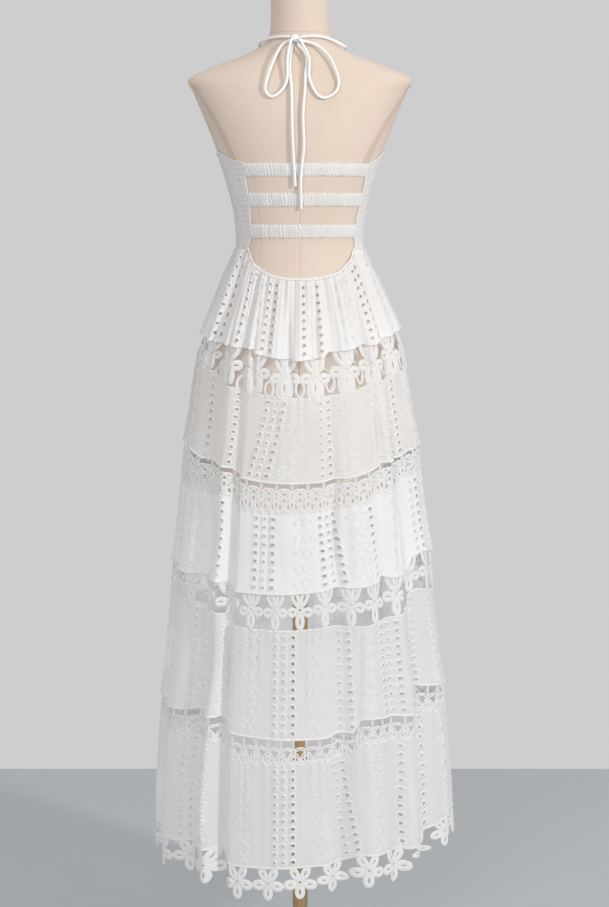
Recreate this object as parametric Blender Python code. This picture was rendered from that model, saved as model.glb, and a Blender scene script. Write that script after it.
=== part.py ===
"""Tiered halter maxi dress with lace insertions, on a limbless dress form.

Metres, +Z up. The origin is on the floor under the pole. The back of the
dress faces +Y, its front faces -Y, and +X is the wearer's left.
"""

import math

import bmesh
import bpy
from mathutils import Matrix, Vector

# Driving sizes
CLOTH = 0.0014
BODICE_CLOTH = 0.0015
SEAM = 0.0003
FORM_CLEARANCE = 0.0007
POLE_RADIUS = 0.0135
BASE_RADIUS = 0.19
BASE_HEIGHT = 0.022
CORD_RADIUS = 0.0025
CORD_STEP = 0.013
SIDE_SEAM = 90.0
OVAL = 0.053

# Heights in the tables start this far above the floor
DATUM = 0.070

# Dress form: height, half width, depth behind the axis, depth before it
FORM = (
    (0.765, 0.143, 0.098, 0.084),
    (0.830, 0.150, 0.104, 0.088),
    (0.900, 0.158, 0.114, 0.094),
    (0.960, 0.160, 0.117, 0.096),
    (1.030, 0.154, 0.110, 0.096),
    (1.100, 0.136, 0.097, 0.092),
    (1.165, 0.116, 0.083, 0.088),
    (1.220, 0.107, 0.078, 0.086),
    (1.256, 0.110, 0.082, 0.090),
    (1.290, 0.116, 0.088, 0.101),
    (1.326, 0.126, 0.094, 0.117),
    (1.355, 0.135, 0.097, 0.124),
    (1.400, 0.151, 0.099, 0.116),
    (1.450, 0.171, 0.094, 0.096),
    (1.485, 0.186, 0.086, 0.082),
    (1.506, 0.193, 0.076, 0.073),
    (1.527, 0.150, 0.068, 0.066),
    (1.546, 0.098, 0.061, 0.060),
    (1.563, 0.066, 0.054, 0.055),
    (1.585, 0.052, 0.049, 0.051),
    (1.660, 0.051, 0.050, 0.050),
)

# Skirt with no folds: height, half width left, right, depth back, front
SKIRT = (
    (0.090, 0.252, 0.268, 0.219, 0.200),
    (0.165, 0.255, 0.270, 0.217, 0.197),
    (0.300, 0.251, 0.264, 0.210, 0.188),
    (0.430, 0.241, 0.252, 0.202, 0.179),
    (0.529, 0.233, 0.242, 0.195, 0.172),
    (0.620, 0.225, 0.232, 0.187, 0.165),
    (0.710, 0.217, 0.225, 0.179, 0.158),
    (0.826, 0.206, 0.211, 0.167, 0.148),
    (0.900, 0.198, 0.203, 0.158, 0.141),
    (0.949, 0.192, 0.195, 0.151, 0.136),
    (1.022, 0.181, 0.184, 0.139, 0.128),
    (1.045, 0.174, 0.179, 0.134, 0.124),
    (1.083, 0.162, 0.168, 0.122, 0.115),
    (1.122, 0.148, 0.153, 0.107, 0.105),
    (1.165, 0.132, 0.134, 0.0885, 0.096),
    (1.194, 0.119, 0.119, 0.0835, 0.0915),
    (1.216, 0.1115, 0.1115, 0.0825, 0.0905),
)

# Lower and upper edges: height at the back centre, rise to the side, tilt
EDGES = {
    "tier_1_hem": (1.030, 0.044, 0.010),
    "tier_2_top": (0.966, 0.040, 0.010),
    "tier_2_hem": (0.822, 0.032, 0.010),
    "tier_3_top": (0.776, 0.030, 0.011),
    "tier_3_hem": (0.638, 0.028, 0.014),
    "tier_4_top": (0.573, 0.028, 0.016),
    "tier_4_hem": (0.389, 0.027, 0.022),
    "tier_5_top": (0.345, 0.026, 0.023),
    "tier_5_hem": (0.165, 0.012, 0.023),
    "lace_5_hem": (0.108, 0.012, 0.023),
}
WAIST = 1.2135
U_DEPTH = 0.0485
U_LEFT = 53.0
U_RIGHT = 57.0
U_POWER = 2.6
CASING_HEIGHT = 0.008

# Large folds: place round the skirt, half width, depth at waist, at hem
FOLDS = (
    (8.0, 11.0, 0.000, 0.004),
    (31.0, 8.0, -0.001, -0.025),
    (42.0, 8.0, 0.002, 0.015),
    (54.0, 7.0, -0.001, -0.015),
    (67.0, 9.0, 0.001, 0.010),
    (81.0, 8.0, 0.000, -0.011),
    (97.0, 10.0, 0.000, 0.010),
    (115.0, 9.0, 0.000, -0.015),
    (133.0, 10.0, 0.001, 0.011),
    (151.0, 9.0, 0.000, -0.017),
    (170.0, 10.0, 0.001, 0.010),
    (189.0, 10.0, 0.000, -0.012),
    (208.0, 10.0, 0.001, 0.012),
    (226.0, 9.0, 0.000, -0.014),
    (244.0, 10.0, 0.001, 0.010),
    (261.0, 8.0, 0.000, -0.012),
    (276.0, 8.0, 0.000, 0.008),
    (289.0, 8.0, 0.001, 0.011),
    (302.0, 6.5, -0.001, -0.018),
    (310.0, 5.5, 0.002, 0.011),
    (317.5, 5.5, -0.001, -0.022),
    (330.0, 8.0, 0.002, 0.013),
    (342.5, 7.0, -0.001, -0.020),
)

TIER_COLUMNS = {"back": 26, "front": 18}
TIER_1_COLUMNS = {"back": 60, "front": 34}

# Fine gathers of tier 1
GATHERS = 46
GATHER_TOP = 0.0013
GATHER_HEM = 0.0024

# Back straps: lower edge, upper edge, left end, right end, ridges
STRAPS = (
    (1.338, 1.3605, 43.7, -58.8, 23),
    (1.287, 1.3100, 46.2, -60.4, 21),
    (1.233, 1.2560, 49.0, -58.8, 20),
)
STRAP_WALL = 0.0017
STRAP_RIDGE = 0.0011

# Inner edges of the smocked side panels: height, left, right
SIDE_EDGE = (
    (1.2138, 53.0, -57.0),
    (1.233, 49.8, -59.2),
    (1.256, 49.4, -59.2),
    (1.287, 47.2, -60.8),
    (1.310, 46.6, -60.8),
    (1.338, 45.2, -59.2),
    (1.362, 44.0, -59.2),
)
SIDE_TOP_BACK = 1.3625
SIDE_TOP = 1.3795
SIDE_FRONT = 104.0
CUP_EASE = 0.0012
FRONT_COLUMNS = 22
FRONT_ROWS = 12
SMOCK_COLUMNS = 7
SMOCK_ROWS = 12
SMOCK_RELIEF = 0.0009

CASING_LEFT = 52.4
CASING_RIGHT = -56.4
CASING_COLUMNS = 48

# Bow at the nape
KNOT_X = 0.007
KNOT_HEIGHT = 1.571
KNOT_SIZE = (0.0085, 0.0068, 0.0075)
KNOT_OUT = KNOT_SIZE[1] + 0.0005

# Directions in which the cords leave the knot
KNOT_EXITS = {
    "neck_tie_left": ((1.0, -0.35, 0.25), None),
    "neck_tie_right": ((-1.0, -0.35, 0.25), None),
    "bow_loop_left": ((1.0, 0.25, -0.35), (0.55, 0.80, -0.20)),
    "bow_loop_right": ((-1.0, 0.25, -0.35), (-0.55, 0.80, -0.20)),
    "tie_end_left": ((0.45, -0.05, -1.0), None),
    "tie_end_right": ((-0.45, -0.05, -1.0), None),
}
EXIT_STRAIGHT = 0.005
KNOT_GAP = 0.0008

# Cord routes: x, height, distance of the cord's axis off the form
CORDS = {
    "bow_loop_left": (
        (0.0320, 1.558, 0.011),
        (0.0450, 1.532, 0.013),
        (0.0560, 1.500, 0.010),
        (0.0585, 1.484, 0.007),
        (0.0530, 1.474, 0.006),
        (0.0450, 1.472, 0.006),
        (0.0310, 1.482, 0.007),
        (0.0220, 1.500, 0.009),
        (0.0210, 1.535, 0.015),
        (0.0170, 1.558, 0.020),
    ),
    "bow_loop_right": (
        (-0.0300, 1.559, 0.011),
        (-0.0510, 1.538, 0.011),
        (-0.0650, 1.505, 0.008),
        (-0.0640, 1.485, 0.006),
        (-0.0520, 1.473, 0.006),
        (-0.0380, 1.470, 0.006),
        (-0.0260, 1.480, 0.006),
        (-0.0160, 1.505, 0.008),
        (-0.0160, 1.535, 0.015),
        (-0.0060, 1.558, 0.020),
    ),
    "tie_end_left": (
        (0.0155, 1.545, 0.0060),
        (0.0170, 1.518, 0.0060),
        (0.0140, 1.484, 0.0065),
        (0.0130, 1.432, 0.0070),
        (0.0120, 1.398, 0.0070),
        (0.0100, 1.364, 0.0075),
        (0.0077, 1.321, 0.0075),
    ),
    "tie_end_right": (
        (-0.0090, 1.546, 0.0060),
        (-0.0120, 1.532, 0.0060),
        (-0.0095, 1.510, 0.0060),
        (-0.0087, 1.484, 0.0065),
        (-0.0055, 1.440, 0.0070),
        (-0.0070, 1.389, 0.0070),
        (-0.0026, 1.346, 0.0075),
        (-0.0017, 1.313, 0.0075),
        (-0.0026, 1.283, 0.0075),
    ),
}

# Neck ties: angle round the form, height
NECK_TIES = {
    "neck_tie_left": (
        (37.0, 1.5730),
        (60.0, 1.5700),
        (88.0, 1.5640),
        (118.0, 1.5560),
        (146.0, 1.5370),
        (159.0, 1.5100),
        (160.5, 1.4900),
        (159.3, 1.4633),
    ),
    "neck_tie_right": (
        (-20.0, 1.5740),
        (-40.0, 1.5725),
        (-62.0, 1.5660),
        (-78.0, 1.5570),
        (-105.0, 1.5540),
        (-135.0, 1.5460),
        (-149.0, 1.5330),
        (-159.5, 1.5100),
        (-160.5, 1.4900),
        (-159.3, 1.4633),
    ),
}
NECK_TIE_OUT = 0.0052

# Top edge of the front panel: angle from the front centre, height
FRONT_TOP = (
    (0.0, 1.392),
    (9.0, 1.414),
    (17.0, 1.452),
    (20.7, 1.462),
    (25.0, 1.453),
    (42.0, 1.408),
    (58.0, 1.387),
    (76.0, 1.3795),
)


def blend(rows, key):
    """Smooth value of every further column of a table at key."""
    if key <= rows[0][0]:
        return rows[0][1:]
    if key >= rows[-1][0]:
        return rows[-1][1:]
    index = 0
    while rows[index + 1][0] < key:
        index += 1
    low = rows[index]
    high = rows[index + 1]
    before = rows[max(index - 1, 0)]
    after = rows[min(index + 2, len(rows) - 1)]
    span = high[0] - low[0]
    step = (key - low[0]) / span
    values = []
    for column in range(1, len(low)):
        slope_low = (high[column] - before[column]) / (high[0] - before[0]) * span
        slope_high = (after[column] - low[column]) / (after[0] - low[0]) * span
        square = step * step
        cube = square * step
        values.append(
            (2 * cube - 3 * square + 1) * low[column]
            + (cube - 2 * square + step) * slope_low
            + (3 * square - 2 * cube) * high[column]
            + (cube - square) * slope_high
        )
    return tuple(values)


def bump(distance, half_width):
    """Rounded hill, one at its middle and zero past its half width."""
    if abs(distance) >= half_width:
        return 0.0
    return math.cos(math.pi / 2 * distance / half_width) ** 2


def turned(angle):
    """Angle wrapped to between -180 and 180 degrees."""
    return (angle + 180.0) % 360.0 - 180.0


def oval_angle(angle):
    """Angle that spaces points evenly round an oval."""
    radians = math.radians(angle)
    return radians - OVAL * math.sin(2 * radians)


def form_point(angle, height, out=0.0):
    """Point on the dress form, moved out along the ring's normal."""
    width, back, front = blend(FORM, height)
    radians = math.radians(angle)
    depth = back if math.cos(radians) > 0 else front
    normal = Vector((math.sin(radians) / width, math.cos(radians) / depth, 0.0))
    normal.normalize()
    x = width * math.sin(radians) + normal.x * out
    y = depth * math.cos(radians) + normal.y * out
    return Vector((x, y, height))


def off_form(angle, height, distance):
    """Point at a distance off the form, along the surface's own normal."""
    tiny = 0.0005
    round_it = form_point(angle + 0.3, height) - form_point(angle - 0.3, height)
    up_it = form_point(angle, height + tiny) - form_point(angle, height - tiny)
    normal = up_it.cross(round_it)
    normal.normalize()
    return form_point(angle, height) + normal * distance


def fold_depth(angle, height):
    """How far the folds move the skirt out at this place."""
    down = (WAIST - height) / (WAIST - 0.10)
    down = min(max(down, 0.0), 1.0)
    move = 0.0
    for place, half_width, at_waist, at_hem in FOLDS:
        hill = bump(turned(angle - place), half_width)
        move += hill * (at_waist + (at_hem - at_waist) * down ** 0.8)
    return move


def skirt_point(angle, height, out=0.0):
    """Point on the skirt, folds included, moved out along the oval's normal."""
    left, right, back, front = blend(SKIRT, height)
    radians = oval_angle(angle)
    side = left if math.sin(radians) > 0 else right
    depth = back if math.cos(radians) > 0 else front
    normal = Vector((math.sin(radians) / side, math.cos(radians) / depth, 0.0))
    normal.normalize()
    out += fold_depth(angle, height)
    x = side * math.sin(radians) + normal.x * out
    y = depth * math.cos(radians) + normal.y * out
    return Vector((x, y, height))


def edge_height(name, angle):
    """Height of a tier's edge at an angle."""
    centre, rise, tilt = EDGES[name]
    angle = turned(angle)
    side = math.sin(math.radians(min(abs(angle), 90.0))) ** 2
    return centre + rise * side - tilt * math.sin(math.radians(angle))


def u_height(angle):
    """Height of tier 1's upper edge, with the U of the open back."""
    angle = turned(angle)
    reach = U_LEFT if angle > 0 else U_RIGHT
    share = min(abs(angle) / reach, 1.0)
    return WAIST - U_DEPTH * (1.0 - share ** U_POWER)


def add_material(name, colour, roughness, metallic=0.0):
    """Material with plain values."""
    material = bpy.data.materials.new(name)
    material.use_nodes = True
    shader = material.node_tree.nodes["Principled BSDF"]
    shader.inputs["Base Color"].default_value = (*colour, 1.0)
    shader.inputs["Roughness"].default_value = roughness
    shader.inputs["Metallic"].default_value = metallic
    return material


def add_object(name, mesh, material):
    """Object in the part's collection."""
    part = bpy.data.objects.new(name, mesh)
    part.data.materials.append(material)
    part.data.transform(Matrix.Translation((0.0, 0.0, DATUM)))
    collection.objects.link(part)
    return part


def add_wall(name, cells, surface, inner_out, outer_out, material, relief=None):
    """Closed cloth wall from cells of a surface that takes a distance out."""
    mesh = bmesh.new()
    outer = {}
    inner = {}
    used = set()
    for cell in cells:
        keys = [(round(across, 5), round(along, 5)) for across, along in cell]
        for key in keys:
            if key in outer:
                continue
            raised = relief(*key) if relief else 0.0
            outer[key] = mesh.verts.new(surface(key[0], key[1], outer_out + raised))
            inner[key] = mesh.verts.new(surface(key[0], key[1], inner_out))
        for corners in (keys[:3], [keys[0]] + keys[2:]):
            mesh.faces.new([outer[key] for key in corners])
            mesh.faces.new([inner[key] for key in reversed(corners)])
        used.update(zip(keys, keys[1:] + keys[:1]))
    for start, end in sorted(used):
        if (end, start) not in used:
            mesh.faces.new((outer[end], outer[start], inner[start], inner[end]))
    bmesh.ops.recalc_face_normals(mesh, faces=mesh.faces)
    data = bpy.data.meshes.new(name)
    mesh.to_mesh(data)
    mesh.free()
    return add_object(name, data, material)


def grid(start, end, columns, rows):
    """Cells between two angles, from the top edge 0 to the lower edge 1."""
    cells = []
    for column in range(columns):
        left = start + (end - start) * column / columns
        right = start + (end - start) * (column + 1) / columns
        for row in range(rows):
            top = row / rows
            low = (row + 1) / rows
            cells.append(((left, top), (left, low), (right, low), (right, top)))
    return cells


def band_surface(top_edge, low_edge, gathers=None):
    """Surface of the skirt between two edges, 0 at the top and 1 below."""

    def surface(angle, share, out):
        height = top_edge(angle) * (1.0 - share) + low_edge(angle) * share
        if gathers:
            out += gathers(angle, share)
        return skirt_point(angle, height, out)

    return surface


def edge(name, move=0.0):
    """Edge height as a function of the angle."""
    return lambda angle: edge_height(name, angle) + move


def seam_angles(half):
    """First and last angle of a back or front half, clear of the side seam."""
    gap = math.degrees(SEAM / 2 / 0.17)
    if half == "back":
        return -SIDE_SEAM + gap, SIDE_SEAM - gap
    return SIDE_SEAM + gap, 360.0 - SIDE_SEAM - gap


def tier_1_gathers(angle, share):
    """Fine gathers of tier 1, close at the top and fuller at its hem."""
    fine = math.cos(math.radians(angle * GATHERS))
    wide = math.cos(math.radians(angle * GATHERS / 2 + 40.0 * math.sin(math.radians(angle * 5))))
    return GATHER_TOP * (1.0 - share) * fine + GATHER_HEM * share ** 1.4 * wide


def flower_cells(start, end, count, tip):
    """Open lace of star flowers, each with two petals up and one down."""
    cells = []
    pitch = (end - start) / count
    for index in range(count):
        base = start + pitch * index

        def at(share, level):
            return (base + pitch * share, level)

        upper = (at(0.0, 0.44), at(0.25, 0.36), at(0.5, 0.40), at(0.75, 0.36), at(1.0, 0.44))
        lower = (at(0.0, 0.57), at(0.25, 0.66), at(0.5, 0.64), at(0.75, 0.66), at(1.0, 0.57))
        for column in range(4):
            cells.append((upper[column], lower[column], lower[column + 1], upper[column + 1]))
        cells.append((at(0.10, 0.0), upper[1], upper[2], at(0.32, 0.0)))
        cells.append((at(0.68, 0.0), upper[2], upper[3], at(0.90, 0.0)))
        cells.append((lower[1], at(0.5 - tip, 1.0), at(0.5, 1.0), lower[2]))
        cells.append((lower[2], at(0.5, 1.0), at(0.5 + tip, 1.0), lower[3]))
    return cells


def peak_cells(start, end, count):
    """Close lace whose pointed tops leave open gaps between them."""
    cells = []
    pitch = (end - start) / count
    for index in range(count):
        base = start + pitch * index
        left = (base, 0.50)
        middle = (base + pitch * 0.55, 0.50)
        right = (base + pitch, 0.50)
        cells.append(((base + pitch * 0.17, 0.0), left, middle, (base + pitch * 0.38, 0.0)))
        cells.append((left, (base, 1.0), (base + pitch * 0.55, 1.0), middle))
        cells.append((middle, (base + pitch * 0.55, 1.0), (base + pitch, 1.0), right))
    return cells


# Remove what the scene holds
for item in list(bpy.data.objects):
    bpy.data.objects.remove(item, do_unlink=True)

collection = bpy.data.collections.new("maxi_dress_on_dress_form")
bpy.context.scene.collection.children.link(collection)

cotton = add_material("white_cotton", (0.86, 0.86, 0.85), 0.85)
lace_thread = add_material("white_lace", (0.88, 0.88, 0.87), 0.8)
elastic = add_material("white_shirring", (0.84, 0.84, 0.83), 0.85)
rouleau = add_material("white_rouleau", (0.85, 0.85, 0.84), 0.7)
linen = add_material("beige_linen", (0.70, 0.58, 0.47), 0.85)
brass = add_material("brass_pole", (0.62, 0.45, 0.22), 0.3, 1.0)
enamel = add_material("base_paint", (0.75, 0.74, 0.72), 0.4)

# Dress form: one solid loft through its rings
FORM_SIDES = 24
form_heights = [FORM[0][0]]
for row_low, row_high in zip(FORM, FORM[1:]):
    if 1.09 < row_low[0] < 1.50:
        form_heights.append((row_low[0] + row_high[0]) / 2)
    form_heights.append(row_high[0])
rings = bmesh.new()
levels = []
for height in form_heights:
    ring = []
    for side in range(FORM_SIDES):
        ring.append(rings.verts.new(form_point(360.0 * side / FORM_SIDES, height)))
    levels.append(ring)
for low, high in zip(levels, levels[1:]):
    for side in range(FORM_SIDES):
        after = (side + 1) % FORM_SIDES
        rings.faces.new((low[side], low[after], high[after], high[side]))
rings.faces.new(levels[0])
rings.faces.new(levels[-1])
bmesh.ops.recalc_face_normals(rings, faces=rings.faces)
form_mesh = bpy.data.meshes.new("form_torso")
rings.to_mesh(form_mesh)
rings.free()
add_object("form_torso", form_mesh, linen)

# Pole and base
FORM_BOTTOM = FORM[0][0] + DATUM
POLE_FOOT = BASE_HEIGHT + SEAM
bpy.ops.mesh.primitive_cylinder_add(
    vertices=20,
    radius=POLE_RADIUS,
    depth=FORM_BOTTOM - SEAM - POLE_FOOT,
    location=(0.0, 0.0, (FORM_BOTTOM - SEAM + POLE_FOOT) / 2),
)
pole = bpy.context.object
pole.name = "stand_pole"
pole.data.materials.append(brass)
bpy.ops.mesh.primitive_cone_add(
    vertices=32,
    radius1=BASE_RADIUS,
    radius2=BASE_RADIUS - 0.012,
    depth=BASE_HEIGHT,
    location=(0.0, 0.0, BASE_HEIGHT / 2),
)
base = bpy.context.object
base.name = "stand_base"
base.data.materials.append(enamel)
for item in (pole, base):
    for owner in list(item.users_collection):
        owner.objects.unlink(item)
    collection.objects.link(item)

# Tiers and laces, each with a back and a front half
def add_band(name, cells, surface, material):
    """Band of the skirt with its outer face on the surface."""
    add_wall(name, cells, surface, -CLOTH, 0.0, material)


for half in ("back", "front"):
    start, end = seam_angles(half)
    tier_1 = band_surface(u_height, edge("tier_1_hem", SEAM / 2), tier_1_gathers)
    add_band("tier_1_" + half, grid(start, end, TIER_1_COLUMNS[half], 3), tier_1, cotton)
    for number, rows in ((2, 2), (3, 2), (4, 3), (5, 3)):
        top = edge("tier_%d_top" % number, -SEAM / 2)
        hem = edge("tier_%d_hem" % number, SEAM / 2)
        cells = grid(start, end, TIER_COLUMNS[half], rows)
        add_band("tier_%d_%s" % (number, half), cells, band_surface(top, hem), cotton)
    for number, count in ((1, 10), (3, 15)):
        top = edge("tier_%d_hem" % number, -SEAM / 2)
        low = edge("tier_%d_top" % (number + 1), SEAM / 2)
        cells = flower_cells(start, end, count, 0.12)
        add_band("lace_%d_%s" % (number, half), cells, band_surface(top, low), lace_thread)
    lace_2 = band_surface(edge("tier_2_hem", -SEAM / 2), edge("tier_3_top", SEAM / 2))
    add_band("lace_2_" + half, grid(start, end, TIER_COLUMNS[half], 1), lace_2, lace_thread)
    lace_4 = band_surface(edge("tier_4_hem", -SEAM / 2), edge("tier_5_top", SEAM / 2))
    add_band("lace_4_" + half, peak_cells(start, end, 32), lace_4, lace_thread)
    lace_5 = band_surface(edge("tier_5_hem", -SEAM / 2), edge("lace_5_hem"))
    add_band("lace_5_" + half, flower_cells(start, end, 13, 0.07), lace_5, lace_thread)


# Smocked side panels, from the back edge to the front seam
def side_surface(side):
    """Side panel on the form: 0 to 1 from its back edge, 0 to 1 downward."""
    column = 0 if side > 0 else 1

    def surface(across, along, out):
        rise = math.sin(min(across * 2.0, 1.0) * math.pi / 2)
        top = SIDE_TOP_BACK + (SIDE_TOP - SIDE_TOP_BACK) * rise
        foot = WAIST + SEAM
        height = foot + (top - foot) * (1.0 - along)
        inner = blend(SIDE_EDGE, height)[column]
        angle = inner + (side * SIDE_FRONT - inner) * across
        return form_point(angle, height, out)

    return surface


def smocking(across, along):
    """Puffs of the smocking, one cell in two raised."""
    place = round(across * SMOCK_COLUMNS) + round(along * SMOCK_ROWS)
    return SMOCK_RELIEF if place % 2 else 0.0


BODICE_OUT = FORM_CLEARANCE + BODICE_CLOTH
for side, label in ((1, "left"), (-1, "right")):
    cells = grid(0.0, 1.0, SMOCK_COLUMNS, SMOCK_ROWS)
    name = "bodice_side_" + label
    panel = side_surface(side)
    add_wall(name, cells, panel, FORM_CLEARANCE, BODICE_OUT, elastic, smocking)


# Front panel with its halter points
def front_surface(turn, along, out):
    """Front panel: turn in degrees from the front centre, 0 to 1 downward."""
    top = blend(FRONT_TOP, abs(turn))[0]
    foot = WAIST + SEAM
    height = foot + (top - foot) * (1.0 - along)
    return form_point(180.0 + turn, height, out)


FRONT_HALF = 180.0 - SIDE_FRONT - 0.15
cells = grid(-FRONT_HALF, FRONT_HALF, FRONT_COLUMNS, FRONT_ROWS)
CUP_OUT = FORM_CLEARANCE + CUP_EASE
add_wall("bodice_front", cells, front_surface, CUP_OUT, CUP_OUT + BODICE_CLOTH, cotton)

# Shirred back straps
for number, (low, high, left, right, ridges) in enumerate(STRAPS, 1):
    columns = ridges * 2

    def strap_surface(share, along, out):
        """Strap across the open back: 0 to 1 from left to right, 0 to 1 down."""
        angle = left + (right - left) * share
        return form_point(angle, high + (low - high) * along, out)

    def ridge(share, along):
        """Every other point across the strap stands out as a gather."""
        return STRAP_RIDGE if round(share * columns) % 2 else 0.0

    cells = grid(0.0, 1.0, columns, 1)
    name = "back_strap_%d" % number
    outer = FORM_CLEARANCE + STRAP_WALL
    add_wall(name, cells, strap_surface, FORM_CLEARANCE, outer, elastic, ridge)


# Gathered casing round the U, on top of tier 1's upper edge
def casing_surface(share, along, out):
    """Casing: 0 to 1 from left to right, 0 to 1 downward."""
    angle = CASING_LEFT + (CASING_RIGHT - CASING_LEFT) * share
    height = u_height(angle) + SEAM + CASING_HEIGHT * (1.0 - along)
    return skirt_point(angle, height, out)


def casing_ridge(share, along):
    """Gathers of the casing."""
    return STRAP_RIDGE if round(share * CASING_COLUMNS) % 2 else 0.0


cells = grid(0.0, 1.0, CASING_COLUMNS, 1)
add_wall("back_casing", cells, casing_surface, -CLOTH, 0.0, elastic, casing_ridge)


# Cords
def route_curve(points, step):
    """Evenly spaced points on a smooth curve through route points."""
    fine = []
    last = len(points) - 1
    for index in range(last):
        before = points[max(index - 1, 0)]
        start = points[index]
        end = points[index + 1]
        after = points[min(index + 2, last)]
        for part in range(12):
            t = part / 12
            fine.append(
                0.5
                * (
                    2 * start
                    + (end - before) * t
                    + (2 * before - 5 * start + 4 * end - after) * t * t
                    + (3 * start - before - 3 * end + after) * t * t * t
                )
            )
    fine.append(points[-1])
    lengths = [0.0]
    for start, end in zip(fine, fine[1:]):
        lengths.append(lengths[-1] + (end - start).length)
    count = max(int(round(lengths[-1] / step)), 2)
    spaced = []
    index = 0
    for part in range(count + 1):
        target = lengths[-1] * part / count
        while index < len(lengths) - 2 and lengths[index + 1] < target:
            index += 1
        share = (target - lengths[index]) / (lengths[index + 1] - lengths[index])
        spaced.append(fine[index].lerp(fine[index + 1], share))
    return spaced


def add_cord(name, points):
    """Round cord along a smooth curve through route points."""
    route = route_curve(points, CORD_STEP)
    curve = bpy.data.curves.new(name, "CURVE")
    curve.dimensions = "3D"
    curve.bevel_depth = CORD_RADIUS
    curve.bevel_resolution = 2
    curve.use_fill_caps = True
    spline = curve.splines.new("POLY")
    spline.points.add(len(route) - 1)
    for target, point in zip(spline.points, route):
        target.co = (*point, 1.0)
    return add_object(name, curve, rouleau)


def behind_form(x, height, out):
    """Point behind the form at x, off its surface."""
    width, back, front = blend(FORM, height)
    return Vector((x, back * math.sqrt(1.0 - (x / width) ** 2) + out, height))


def knot_exit(direction):
    """Two points on a line out of the knot, from its skin outwards."""
    way = Vector(direction).normalized()
    reach = 1.0 / math.sqrt(sum((way[axis] / KNOT_SIZE[axis]) ** 2 for axis in range(3)))
    skin = knot_place + way * (reach + KNOT_GAP)
    return [skin, skin + way * EXIT_STRAIGHT]


knot_place = behind_form(KNOT_X, KNOT_HEIGHT, KNOT_OUT)
routes = {name: [behind_form(*row) for row in rows] for name, rows in CORDS.items()}
for name, rows in NECK_TIES.items():
    routes[name] = [off_form(angle, height, NECK_TIE_OUT) for angle, height in rows]
for name, route in routes.items():
    first, last = KNOT_EXITS[name]
    end = list(reversed(knot_exit(last))) if last else []
    add_cord(name, knot_exit(first) + route + end)

# Bow knot
bpy.ops.mesh.primitive_uv_sphere_add(segments=14, ring_count=8, radius=1.0)
knot = bpy.context.object
knot.name = "bow_knot"
knot.scale = KNOT_SIZE
knot.location = knot_place + Vector((0.0, 0.0, DATUM))
bpy.ops.object.transform_apply(location=True, rotation=False, scale=True)
knot.data.materials.append(rouleau)
for owner in list(knot.users_collection):
    owner.objects.unlink(knot)
collection.objects.link(knot)
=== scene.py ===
"""Looks of a tiered white halter maxi dress on a limbless dress form."""

import math
from functools import partial

import bmesh
import bpy
import numpy as np
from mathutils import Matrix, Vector


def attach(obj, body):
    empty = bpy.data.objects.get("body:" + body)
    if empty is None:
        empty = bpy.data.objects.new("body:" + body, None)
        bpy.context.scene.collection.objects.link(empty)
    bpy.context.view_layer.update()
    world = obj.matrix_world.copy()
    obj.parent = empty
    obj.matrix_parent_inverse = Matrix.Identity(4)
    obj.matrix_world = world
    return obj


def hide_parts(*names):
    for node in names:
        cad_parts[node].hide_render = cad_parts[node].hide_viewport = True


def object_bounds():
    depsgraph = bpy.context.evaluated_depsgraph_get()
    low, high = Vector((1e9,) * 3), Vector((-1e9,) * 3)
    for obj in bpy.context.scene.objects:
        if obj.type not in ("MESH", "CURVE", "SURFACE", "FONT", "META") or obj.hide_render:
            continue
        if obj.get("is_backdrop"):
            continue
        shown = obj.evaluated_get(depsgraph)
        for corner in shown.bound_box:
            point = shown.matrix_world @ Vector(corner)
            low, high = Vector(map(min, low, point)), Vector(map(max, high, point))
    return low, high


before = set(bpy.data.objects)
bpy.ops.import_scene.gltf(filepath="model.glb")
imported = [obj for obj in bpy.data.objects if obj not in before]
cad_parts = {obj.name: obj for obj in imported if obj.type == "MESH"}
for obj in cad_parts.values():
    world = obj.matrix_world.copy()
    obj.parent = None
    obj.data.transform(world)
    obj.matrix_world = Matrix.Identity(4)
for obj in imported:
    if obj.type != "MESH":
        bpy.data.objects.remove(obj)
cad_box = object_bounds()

# Sizes, as in the solids but for a U that is a little deeper and wider
CORD_RADIUS = 0.0025
OVAL = 0.053
WAIST = 1.2135
U_DEPTH = 0.0530
U_LEFT = 57.0
U_RIGHT = 61.0
U_POWER = 2.6

# Heights in the tables start this far above the floor
DATUM = 0.070

# Dress form, mm: height, half width, depth behind the axis, depth before it
FORM = np.array((
    (765, 143, 98, 84), (830, 150, 104, 88), (900, 158, 114, 94), (960, 160, 117, 96),
    (1030, 154, 110, 96), (1100, 136, 97, 92), (1165, 116, 83, 88), (1220, 107, 78, 86),
    (1256, 110, 82, 90), (1290, 116, 88, 101), (1326, 126, 94, 117), (1355, 135, 97, 124),
    (1400, 151, 99, 116), (1450, 171, 94, 96), (1485, 186, 86, 82), (1506, 193, 76, 73),
    (1527, 150, 68, 66), (1546, 98, 61, 60), (1563, 66, 54, 55), (1585, 52, 49, 51),
    (1660, 51, 50, 50),
)) / 1000

# Skirt with no folds, mm: height, half width left, right, depth back, front
SKIRT = np.array((
    (90, 252, 268, 219, 200), (165, 255, 270, 217, 197), (300, 251, 264, 210, 188),
    (430, 241, 252, 202, 179), (529, 233, 242, 195, 172), (620, 225, 232, 187, 165),
    (710, 217, 225, 179, 158), (826, 206, 211, 167, 148), (900, 198, 203, 158, 141),
    (949, 192, 195, 151, 136), (1022, 181, 184, 139, 128), (1045, 174, 179, 134, 124),
    (1083, 162, 168, 122, 115), (1122, 148, 153, 107, 105), (1165, 132, 134, 88.5, 96),
    (1194, 119, 119, 83.5, 91.5), (1216, 111.5, 111.5, 82.5, 90.5),
)) / 1000

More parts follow.
